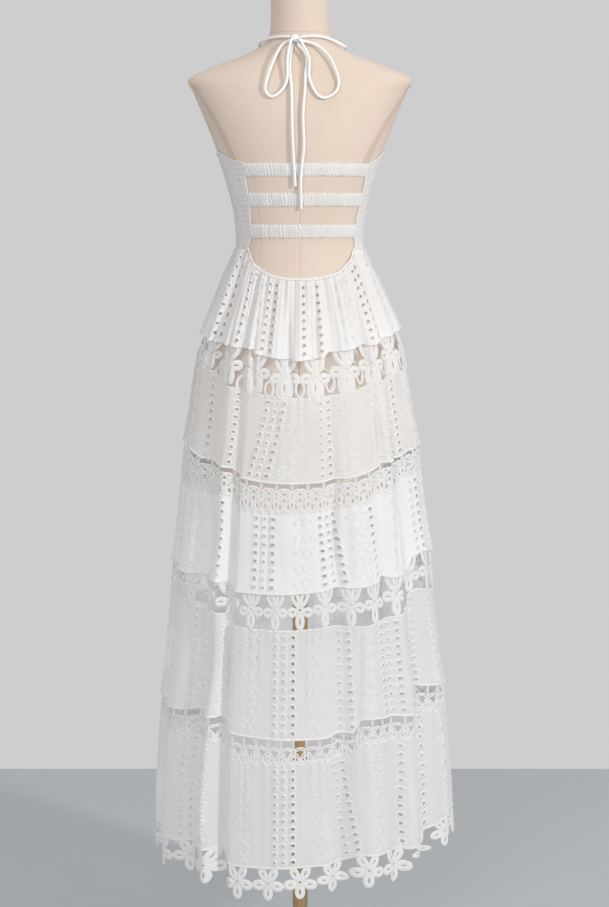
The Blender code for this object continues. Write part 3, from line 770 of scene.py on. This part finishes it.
def star_loops(number, pitch, height):
    """Loops of a star flower: x, y down, outline, slit and turn."""
    lean, bottom_width, bottom_slit = STARS[number]
    middle = height * 0.45
    radians = math.radians(lean)
    reach = (middle + TUCKED[number]) / math.cos(radians)
    petal = (reach - 0.004) / 2
    spot = 0.004 + petal
    loops = [(0.0, middle, (0.0084, 0.0078), (0.0026, 0.0018), 0.0)]
    for side in (-1.0, 1.0):
        loops.append((
            side * spot * math.sin(radians), middle - spot * math.cos(radians),
            (petal, 0.0104 if number == 1 else 0.0088), (petal * 0.36, 0.0011),
            side * (lean - 90.0),
        ))
        end = pitch / 2 + 0.0006
        loops.append((
            side * (end + 0.005) / 2, middle + 0.0040, ((end - 0.005) / 2, 0.0096),
            (0.0042, 0.0014), side * 4.0,
        ))
    low = height - (0.0005 if number == 5 else -0.0020)
    start = middle + 0.004
    half_length = (low - start) / 2
    loops.append((
        0.0, start + half_length, (half_length, bottom_width),
        (half_length * 0.38, bottom_slit), 90.0,
    ))
    if number == 1:
        loops.append((pitch / 2, height * 0.79, (0.0150, 0.0100), (0.0105, 0.0056), 90.0))
        for side in (-1.0, 1.0):
            loops.append((
                side * 0.0110, height * 0.80, (0.0150, 0.0056), (0.0070, 0.0008), 90.0,
            ))
    return loops


def fine_loops(number, pitch, height):
    """Loops of the close lace: a point, an arch, a ring and a fan under it."""
    window = 0.34 if number == 4 else 0.20
    size = pitch / 0.0216
    rest = (1.0 - window) * height
    tall = rest / 0.029
    top = window * height
    loops = [
        (0.0, top * 0.55, (top * 0.75, 0.0021 * size), (top * 0.25, 0.0004), 90.0),
        (0.0, top + 0.20 * rest, (0.0044 * tall, 0.0042 * size), (0.0017 * tall, 0.0015), 90.0),
        (0.0, top + 0.68 * rest, (0.0080 * tall, 0.0046 * size), (0.0031 * tall, 0.0016), 90.0),
        (pitch / 2, top + 0.83 * rest, (0.0048 * tall, 0.0048 * size), (0.0009, 0.0007), 90.0),
    ]
    for side in (-1.0, 1.0):
        loops.append((
            side * 0.0062 * size, top + 0.09 * rest, (0.0064 * size, 0.0038 * tall),
            (0.0022 * size, 0.0009), -20.0 * side,
        ))
        loops.append((
            side * 0.0060 * size, top + 0.52 * rest, (0.0082 * size, 0.0036 * tall),
            (0.0030 * size, 0.0007), 54.0 * side,
        ))
        if number == 2:
            loops.append((
                side * 0.0066 * size, top + 0.30 * rest, (0.0060 * size, 0.0030 * tall),
                (0.0011 * size, 0.0008), 24.0 * side,
            ))
    return loops


def build_lace(number, half):
    """One half of a lace, made of raised thread loops."""
    start, end = half_angles(half)
    count = LACE_COUNTS[number]
    star = number in STARS
    surface = partial(lace_surface, number)
    width = arc_length(surface, start, end, 0.5)
    height = lace_height(number)
    per_degree = width / (end - start)
    pitch = width / count
    scale = (per_degree, height)
    loops = star_loops(number, pitch, height) if star else fine_loops(number, pitch, height)
    cloth = Cloth()
    centre = start + (np.arange(count) + 0.5) * (end - start) / count
    for x, y, outer, slit, turn in loops:
        place = centre + x / per_degree
        inside = (place > start) & (place < end)
        place = place[inside]
        share = np.full(len(place), y / height)
        add_loops(cloth, place, share, outer, slit, turn, scale, 20 if star else 14)
        if star:
            cloth.points[-1] = level_flowers(cloth.points[-1], number, centre[inside])
    columns = count * (8 if star else 5)
    if not star:
        add_ridge(cloth, start, end, 0.955, 0.0034, 0.0009, columns, height)
    piece = cloth.build("lace_band_%d_%s" % (number, half), surface, lace_thread, lace_thread)
    dress(piece, "lace_%d_%s" % (number, half))


# Materials
def base_material(name, colour, roughness):
    """Principled material with its node tree's parts."""
    material = bpy.data.materials.new(name)
    material.use_nodes = True
    nodes = material.node_tree.nodes
    shader = nodes["Principled BSDF"]
    shader.inputs["Base Color"].default_value = (*colour, 1.0)
    shader.inputs["Roughness"].default_value = roughness
    return material, nodes, material.node_tree.links, shader


def set_inputs(node, **values):
    """Set a shader node's inputs, with _ for the spaces in their names."""
    for name, value in values.items():
        node.inputs[name.replace("_", " ")].default_value = value
    return node


def add_node(nodes, kind, **values):
    """New shader node with some of its inputs set."""
    return set_inputs(nodes.new("ShaderNode" + kind), **values)


def cloth_material(name, colour, shade, weave, bump_height, sheen, through=0.0, knobs=0.0):
    """Woven cloth: threads and knobs as bump, faint colour variation, light let through."""
    material, nodes, links, shader = base_material(name, colour, 0.85)
    set_inputs(shader, Sheen_Weight=sheen, Sheen_Roughness=0.5, Specular_IOR_Level=0.25)
    place = nodes.new("ShaderNodeTexCoord").outputs["Object"]
    both = nodes.new("ShaderNodeMath")
    both.operation = "ADD"
    for index, direction in enumerate("ZX"):
        thread = add_node(nodes, "TexWave", Scale=weave, Distortion=1.5)
        thread.bands_direction = direction
        links.new(place, thread.inputs["Vector"])
        links.new(thread.outputs["Fac"], both.inputs[index])
    last = add_node(nodes, "Bump", Strength=0.35, Distance=bump_height)
    links.new(both.outputs[0], last.inputs["Height"])
    if knobs > 0:
        grain = add_node(nodes, "TexNoise", Scale=knobs, Detail=1.0)
        links.new(place, grain.inputs["Vector"])
        lump = add_node(nodes, "Bump", Strength=0.8, Distance=0.0012)
        links.new(grain.outputs["Fac"], lump.inputs["Height"])
        links.new(last.outputs["Normal"], lump.inputs["Normal"])
        last = lump
    links.new(last.outputs["Normal"], shader.inputs["Normal"])
    noise = add_node(nodes, "TexNoise", Scale=9.0, Detail=3.0)
    links.new(place, noise.inputs["Vector"])
    ramp = nodes.new("ShaderNodeValToRGB")
    for element, position, tone in zip(ramp.color_ramp.elements, (0.35, 0.65), (shade, colour)):
        element.position = position
        element.color = (*tone, 1.0)
    links.new(noise.outputs["Fac"], ramp.inputs["Fac"])
    links.new(ramp.outputs["Color"], shader.inputs["Base Color"])
    if through > 0:
        glow = nodes.new("ShaderNodeBsdfTranslucent")
        mixer = nodes.new("ShaderNodeMixShader")
        mixer.inputs["Fac"].default_value = through
        links.new(ramp.outputs["Color"], glow.inputs["Color"])
        links.new(shader.outputs["BSDF"], mixer.inputs[1])
        links.new(glow.outputs["BSDF"], mixer.inputs[2])
        links.new(mixer.outputs["Shader"], nodes["Material Output"].inputs["Surface"])
    return material


WHITE = ((0.95, 0.95, 0.95), (0.925, 0.925, 0.92))
SATIN = ((0.95, 0.945, 0.94), (0.93, 0.925, 0.915))
THREAD = ((0.90, 0.895, 0.89), (0.87, 0.865, 0.855))
CORD = ((0.86, 0.86, 0.855), (0.83, 0.83, 0.82))
LINEN = ((0.675, 0.565, 0.475), (0.645, 0.535, 0.445))
# Paler linen for the form under the skirt: painted light, lighter than the cover's own colour
LINEN_PAINTED_LIGHT = ((0.86, 0.77, 0.69), (0.83, 0.74, 0.66))
PIPING = ((0.60, 0.475, 0.39), (0.57, 0.45, 0.37))
cotton = cloth_material("cotton_voile", *WHITE, 700.0, 0.0002, 0.15, 0.55)
# Copy of the voile that lets less light through and looks brighter on the outside: painted light
# for tiers 1 and 3
cotton_painted_light = cloth_material("cotton_painted_light", *WHITE, 700.0, 0.0002, 0.15, 0.36)
embroidery = cloth_material("satin_embroidery", *SATIN, 900.0, 0.0003, 0.2, 0.3, 420.0)
lace_thread = cloth_material("lace_thread", *THREAD, 900.0, 0.0003, 0.2, 0.3, 420.0)
shirring = cloth_material("shirred_cotton", *WHITE, 600.0, 0.0003, 0.15, 0.35, 300.0)
rouleau = cloth_material("rouleau_cotton", *CORD, 900.0, 0.0002, 0.1)
linen = cloth_material("form_linen", *LINEN, 420.0, 0.0002, 0.1)
linen_painted_light = cloth_material("form_linen_pale", *LINEN_PAINTED_LIGHT, 420.0, 0.0002, 0.1)
piping = cloth_material("form_piping", *PIPING, 500.0, 0.0002, 0.1)


# Back straps, shirred on elastic
def strap_surface(row, along, down, out):
    """Strap across the open back: share along, share down, distance out."""
    low, high, left, right, ridges = row
    return form_points(left + (right - left) * along, high + (low - high) * down, out)


for number, row in enumerate(STRAPS, 1):
    low, high, left, right, ridges = row
    columns = 560
    along, down = grid_shares(columns, 14)
    phase = 2 * math.pi * (ridges * 2.2 * along + 0.35 * np.sin(along * 41.0 + number))
    gather = 0.5 + 0.5 * np.cos(phase + 1.2 * np.sin(down * 7.0 + along * 60.0))
    broad = 0.5 + 0.5 * np.cos(2 * math.pi * (9 * along + 0.3 * np.sin(along * 17.0 + number)))
    crown = np.sin(math.pi * np.clip(down, 0.0, 1.0)) ** 0.35
    out = 0.0010 + 0.0014 * crown + (0.0011 * gather + 0.0006 * broad) * (0.4 + 0.6 * crown)
    out = out + 0.0003 * np.sin(phase * 2.3 + down * 14.0) * crown
    frill = (0.03 + 0.05 * broad) * np.cos(phase)
    down = down + (down - 0.5) * 2 * frill * np.abs(down - 0.5) * 2
    down = np.clip(down, -0.02, 1.02)
    cloth = Cloth()
    cloth.add(along, down, out, grid_faces(columns, 14))
    surface = partial(strap_surface, row)
    piece = cloth.build("strap_%d" % number, surface, shirring)
    dress(piece, "back_strap_%d" % number)
    length = arc_length(surface, 0.0, 1.0, 0.5)


# Smocked side panels
def side_surface(side, across, along, out):
    """Side panel: share from its back edge, share down, distance out."""
    column = 0 if side > 0 else 1
    rise = np.minimum(np.clip(across, 0.0, 1.0) * 2.2, 1.0) ** 1.6
    out = out + 0.0032 * np.clip(along, 0.0, 1.0) ** 3 * np.clip(across * 4.0, 0.0, 1.0)
    top = SIDE_TOP_BACK + (SIDE_TOP - SIDE_TOP_BACK) * rise
    height = WAIST + 0.0003 + (top - WAIST - 0.0003) * (1.0 - along)
    inner = table(SIDE_EDGE, height)[column]
    return form_points(inner + (side * SIDE_FRONT - inner) * across, height, out)


SMOCK_ROWS = 17
SMOCK_PUFFS = 22
for side, label in ((1, "left"), (-1, "right")):
    surface = partial(side_surface, side)
    columns, rows = 176, 136
    across, along = grid_shares(columns, rows)
    row_phase = along * SMOCK_ROWS + 0.22 * np.sin(across * 23.0) + 0.12 * np.sin(across * 61.0)
    wander = 0.35 * np.sin(across * 19.0 + along * 17.0) + 0.25 * np.sin(across * 43.0)
    puff_phase = across * SMOCK_PUFFS + 0.37 * np.floor(row_phase) + wander
    puff = np.abs(np.sin(math.pi * row_phase)) ** 0.8
    out = 0.0014 + 0.0011 * puff * (0.35 + 0.65 * np.cos(2 * math.pi * puff_phase) ** 2)
    cloth = Cloth()
    cloth.add(across, along, out, grid_faces(columns, rows))
    for count, at_back in ((59, True), (69, False)):
        spot, turn = grid_shares(count, 8)
        turn = 2 * math.pi * turn
        rolled = 0.004 + (0.010 if at_back else 0.007) * np.cos(turn)
        edge = (rolled, spot) if at_back else (spot, rolled)
        cloth.add(*edge, 0.0022 + 0.0011 * np.sin(turn), grid_faces(count, 8))
    piece = cloth.build("side_panel_" + label, surface, shirring)
    dress(piece, "bodice_side_" + label)
    width = arc_length(surface, 0.0, 1.0, 0.5)


# Front panel with its halter points
def front_surface(turn, along, out):
    """Front panel: degrees from the front centre, share down, distance out."""
    top = table(FRONT_TOP, np.abs(turn))[0]
    height = WAIST + 0.0003 + (top - WAIST - 0.0003) * (1.0 - along)
    dart = -0.0012 * bump(np.abs(turn) - 27.0, 1.2) * np.clip(along * 1.6 - 0.6, 0.0, 1.0)
    return form_points(180.0 + turn, height, out + 0.0034 + dart)


FRONT_HALF = 75.85
cloth = Cloth()
add_grid(cloth, -FRONT_HALF, FRONT_HALF, 0.0, 1.0, 160, 60)
add_ridge(cloth, -FRONT_HALF, FRONT_HALF, 0.010, 0.0018, 0.0010, 160, 0.20)
for turn in (-46.0, -33.0, -10.5, 10.5, 33.0, 46.0):
    dense_band(cloth, turn, (0.0021, 0.20), turn)
piece = cloth.build("front_panel", front_surface, cotton, embroidery)
dress(piece, "bodice_front")
front_width = arc_length(front_surface, -FRONT_HALF, FRONT_HALF, 0.6)


# Casing round the U: where it starts and ends
CASING_LEFT = 56.4
CASING_RIGHT = -60.4


def casing_surface(along, down, out):
    """Casing: share from left to right, share down, distance out."""
    angle = CASING_LEFT + (CASING_RIGHT - CASING_LEFT) * along
    height = u_height(angle) + 0.0003 + 0.0048 * (1.0 - down)
    return skirt_points(angle, height, out)


along, down = grid_shares(420, 8)
phase = 2 * math.pi * (52 * along + 0.5 * np.sin(along * 23.0) + 0.3 * np.sin(along * 51.0))
round_over = np.sin(math.pi * down) ** 0.5
gather = 0.5 + 0.5 * np.cos(phase)
out = -0.0006 + 0.0009 * round_over + 0.0009 * gather * (0.35 + 0.65 * round_over)
cloth = Cloth()
cloth.add(along, down + 0.05 * (down - 0.5) * np.cos(phase), out, grid_faces(420, 8))
casing_piece = cloth.build("casing", casing_surface, shirring)
dress(casing_piece, "back_casing")


# Skirt
for half in ("back", "front"):
    for number in TIERS:
        build_tier(number, half)
    for number in LACE_COUNTS:
        build_lace(number, half)


# Dress form: seams in degrees, and the heights of its seams and arm bands
FORM_SEAMS = (0.5, 40.5, -46.0, 147.0, -147.0, 180.0)
SEAM_HALF_WIDTH = 0.45
SEAM_DEPTH = 0.0004
NECK_SEAM = 1.583
SEAM_TOP = 1.380
# Below this height the cover takes the paler linen: painted light for the light that reaches the
# form through the skirt
PAINTED_LIGHT_BELOW = 1.100
ARM_TOP = 1.494
ARM_LOW = 1.352


def form_mesh():
    """Form with a groove along each seam, flat ends and a band round each arm."""
    angles = list(np.linspace(-180.0, 180.0, 145)[:-1])
    for seam in FORM_SEAMS:
        for offset in (-1.0, -0.5, 0.0, 0.5, 1.0):
            angles.append(turned(seam + offset * SEAM_HALF_WIDTH * 1.5))
    angles = np.unique(np.round(angles, 3))
    heights = list(np.linspace(FORM[0, 0], FORM[-1, 0], 190))
    heights += [NECK_SEAM - 0.0008, NECK_SEAM, NECK_SEAM + 0.0008, 1.506]
    heights = np.unique(np.round(heights, 5))
    angle, height = np.meshgrid(angles, heights)
    out = np.zeros_like(angle)
    for seam in FORM_SEAMS:
        groove = np.exp(-(turned(angle - seam) / SEAM_HALF_WIDTH) ** 2)
        end = NECK_SEAM if seam in (0.5, 180.0) else SEAM_TOP
        out -= SEAM_DEPTH * groove * np.clip((end - height) / 0.02, 0.0, 1.0)
    out -= SEAM_DEPTH * np.exp(-((height - NECK_SEAM) / 0.0007) ** 2)
    stitched = np.abs(turned(angle[:-1] - 0.33)) < 0.2
    stitched |= np.abs(height[:-1] - NECK_SEAM + 0.0004) < 0.0006
    # Faces under the skirt take the paler linen, which is painted light; the seam lines take the
    # piping
    kinds = np.where(stitched, 1, np.where(height[:-1] < PAINTED_LIGHT_BELOW, 2, 0)).ravel()
    places = form_points(angle.ravel(), height.ravel(), out.ravel())
    count = len(angles)
    faces = ring_faces(1, count, len(heights))
    column = np.arange(count)
    for first, height in ((len(places) - count, FORM[-1, 0]), (0, FORM[0, 0])):
        centre = np.full(count, len(places))
        ends = (first + column, first + (column + 1) % count, centre, centre)
        faces = np.concatenate((faces, np.stack(ends, axis=-1)))
        places = np.concatenate((places, [(0.0, 0.0, height + DATUM)]))
    kinds = np.concatenate((kinds, np.zeros(2 * count, int)))
    up, across = grid_shares(40, 6)
    ridges = (-0.0003, 0.0010, 0.0005, 0.0004, 0.0005, 0.0010, -0.0003)
    height = (ARM_LOW + (ARM_TOP - ARM_LOW) * up).ravel()
    for side in (-1.0, 1.0):
        for back in (True, False):
            angle = 54.0 + (10.0 - 4.0 * side) * up + 14.0 * up ** 2 + 9.0 * (across - 0.5)
            angle = (side * (angle if back else 180.0 - angle)).ravel()
            out = np.broadcast_to(ridges, up.shape).ravel()
            faces = np.concatenate((faces, grid_faces(40, 6) + len(places)))
            kinds = np.concatenate((kinds, np.ones(240, int)))
            places = np.concatenate((places, form_points(angle, height, out)))
    return places, faces, kinds


places, faces, kinds = form_mesh()
form_piece = make_object("form_cover", places, faces, (linen, piping, linen_painted_light), kinds)
dress(form_piece, "form_torso")
edge_split = form_piece.modifiers.new("Edges", "EDGE_SPLIT")
edge_split.split_angle = math.radians(60.0)


# Cords
def behind_form(x, height, out):
    """Point behind the form at x, off its surface."""
    width, back, front = (float(value[0]) for value in table(FORM, [height]))
    return Vector((x, back * math.sqrt(1.0 - (x / width) ** 2) + out, height + DATUM))


def on_form(angle, height):
    """One point on the form."""
    return Vector(form_points(np.array([angle]), np.array([height]), 0.0)[0])


def off_form(angle, height, distance):
    """Point at a distance off the form, along the surface's own normal."""
    round_it = on_form(angle + 0.3, height) - on_form(angle - 0.3, height)
    up_it = on_form(angle, height + 0.0005) - on_form(angle, height - 0.0005)
    return on_form(angle, height) + up_it.cross(round_it).normalized() * distance


def route_curve(points, step):
    """Evenly spaced points on a smooth curve through route points."""
    spots = np.array([points[0], *points, points[-1]])
    before, start, end, after = spots[:-3], spots[1:-2], spots[2:-1], spots[3:]
    t = np.arange(12)[None, :, None] / 12
    before, start, end, after = (item[:, None] for item in (before, start, end, after))
    fine = 0.5 * (
        2 * start + (end - before) * t
        + (2 * before - 5 * start + 4 * end - after) * t ** 2
        + (3 * start - before - 3 * end + after) * t ** 3
    )
    fine = np.concatenate((fine.reshape(-1, 3), spots[-1:]))
    lengths = np.append(0.0, np.cumsum(np.linalg.norm(np.diff(fine, axis=0), axis=1)))
    count = max(int(round(lengths[-1] / step)), 2)
    at = np.linspace(0.0, lengths[-1], count + 1)
    spaced = np.stack([np.interp(at, lengths, fine[:, axis]) for axis in range(3)], axis=1)
    return [Vector(spot) for spot in spaced], float(lengths[-1])


def knot_exit(direction):
    """Two points on a line out of the knot, from its skin outwards."""
    way = Vector(direction).normalized()
    reach = 1.0 / math.sqrt(sum((way[axis] / KNOT_SIZE[axis]) ** 2 for axis in range(3)))
    skin = knot_place + way * (reach + KNOT_GAP)
    return [skin, skin + way * EXIT_STRAIGHT]


knot_place = behind_form(KNOT_X, KNOT_HEIGHT, KNOT_OUT)
routes = {
    name: [behind_form(*np.array(row) / 1000) for row in rows] for name, rows in CORDS.items()
}
for name, rows in NECK_TIES.items():
    routes[name] = [off_form(angle, height / 1000, NECK_TIE_OUT) for angle, height in rows]
for name, route in routes.items():
    first, last = KNOT_EXITS[name]
    end = list(reversed(knot_exit(last))) if last else []
    points, length = route_curve(knot_exit(first) + route + end, 0.004)
    curve = bpy.data.curves.new("cord_" + name, "CURVE")
    curve.dimensions = "3D"
    curve.bevel_depth = CORD_RADIUS
    curve.bevel_resolution = 4
    curve.use_fill_caps = True
    spline = curve.splines.new("POLY")
    spline.points.add(len(points) - 1)
    for target, point in zip(spline.points, points):
        target.co = (*point, 1.0)
    cord = bpy.data.objects.new("cord_" + name, curve)
    curve.materials.append(rouleau)
    bpy.context.scene.collection.objects.link(cord)
    dress(cord, name)


# Knot of the bow: cord wound round itself
def knot_mesh():
    """Band of cord across a rounded lump."""
    around = np.linspace(0.0, 2 * math.pi, 49)[:-1]
    across = np.linspace(-math.pi / 2, math.pi / 2, 33)
    turn, rise = np.meshgrid(around, across)
    wrap = np.cos(rise) ** 0.8
    x = np.sin(rise) * KNOT_SIZE[0]
    band = np.exp(-(np.sin(rise) / 0.42) ** 2)
    groove = np.exp(-((np.abs(np.sin(rise)) - 0.5) / 0.1) ** 2)
    lump = 0.86 + 0.14 * band - 0.05 * groove
    y = np.cos(turn) * wrap * KNOT_SIZE[1] * lump
    z = np.sin(turn) * wrap * KNOT_SIZE[2] * lump + x * 0.18
    places = np.stack((x, y, z), axis=-1).reshape(-1, 3) + np.array(knot_place)
    return places, ring_faces(1, len(around), len(across))


places, faces = knot_mesh()
knot_piece = make_object("knot", places, faces, (rouleau,))
dress(knot_piece, "bow_knot")

# Pole and base take finer materials on their own solids
brass, nodes, links, shader = base_material("polished_brass", (0.52, 0.36, 0.19), 0.26)
place = nodes.new("ShaderNodeTexCoord")
stretch = add_node(nodes, "Mapping", Scale=(1.0, 1.0, 0.05))
noise = add_node(nodes, "TexNoise", Scale=60.0)
spread = add_node(nodes, "MapRange", To_Min=0.2, To_Max=0.38)
shader.inputs["Metallic"].default_value = 1.0
links.new(place.outputs["Object"], stretch.inputs["Vector"])
links.new(stretch.outputs["Vector"], noise.inputs["Vector"])
links.new(noise.outputs["Fac"], spread.inputs["Value"])
links.new(spread.outputs["Result"], shader.inputs["Roughness"])
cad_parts["stand_pole"].material_slots[0].material = brass
enamel, nodes, links, shader = base_material("base_enamel", (0.74, 0.73, 0.71), 0.35)
speckle = add_node(nodes, "TexNoise", Scale=900.0)
lump = add_node(nodes, "Bump", Strength=0.1, Distance=0.0002)
links.new(speckle.outputs["Fac"], lump.inputs["Height"])
links.new(lump.outputs["Normal"], shader.inputs["Normal"])
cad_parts["stand_base"].material_slots[0].material = enamel

# Floor, up to where the wall starts; the world's colour stands for the wall
stage_floor, nodes, links, shader = base_material("pale_floor", (0.47, 0.49, 0.51), 0.6)
WALL_LINE = -1.267
FLOOR_WIDTH = 9.0
FLOOR_DEPTH = 6.2
bpy.ops.mesh.primitive_plane_add(size=1.0, location=(0.0, WALL_LINE + FLOOR_DEPTH / 2, 0.0))
floor = bpy.context.object
floor.name = "floor"
floor.scale = (FLOOR_WIDTH, FLOOR_DEPTH, 1.0)
floor.data.materials.append(stage_floor)
floor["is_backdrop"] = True


def area_light(name, place, target, size, power, colour=(1.0, 1.0, 1.0)):
    """Soft light that points at a target."""
    light = bpy.data.lights.new(name, "AREA")
    light.size = size
    light.energy = power
    light.color = colour
    lamp = bpy.data.objects.new(name, light)
    lamp.location = place
    aim = Vector(target) - Vector(place)
    lamp.rotation_euler = aim.to_track_quat("-Z", "Y").to_euler()
    bpy.context.scene.collection.objects.link(lamp)


area_light("key", (-4.3, 4.5, 3.0), (0.0, 0.0, 1.25), 0.5, 192.0, (1.0, 0.985, 0.965))
area_light("fill", (0.9, 5.2, 2.8), (0.0, 0.0, 0.9), 2.6, 82.0)
area_light("top", (-0.6, -0.2, 3.6), (0.0, 0.0, 0.8), 2.4, 8.0)

world = bpy.data.worlds.new("studio")
bpy.context.scene.world = world
world.use_nodes = True
background = world.node_tree.nodes["Background"]
background.inputs["Color"].default_value = (0.985, 0.985, 1.0, 1.0)
background.inputs["Strength"].default_value = 0.624

# Camera
bpy.context.scene.view_settings.view_transform = "Standard"
camera_data = bpy.data.cameras.new("camera")
camera_data.sensor_fit = "VERTICAL"
camera_data.sensor_height = 36.0
camera_data.lens = FOCAL_PIXELS / PHOTO_HEIGHT * camera_data.sensor_height
camera = bpy.data.objects.new("camera", camera_data)
camera.location = CAMERA_PLACE
camera.rotation_euler = (math.radians(90.0 - CAMERA_PITCH), 0.0, math.pi)
bpy.context.scene.collection.objects.link(camera)
bpy.context.scene.camera = camera

boxes = {"cad": cad_box, "visual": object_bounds()}
rows = {name: [list(map(float, corner)) for corner in box] for name, box in boxes.items()}
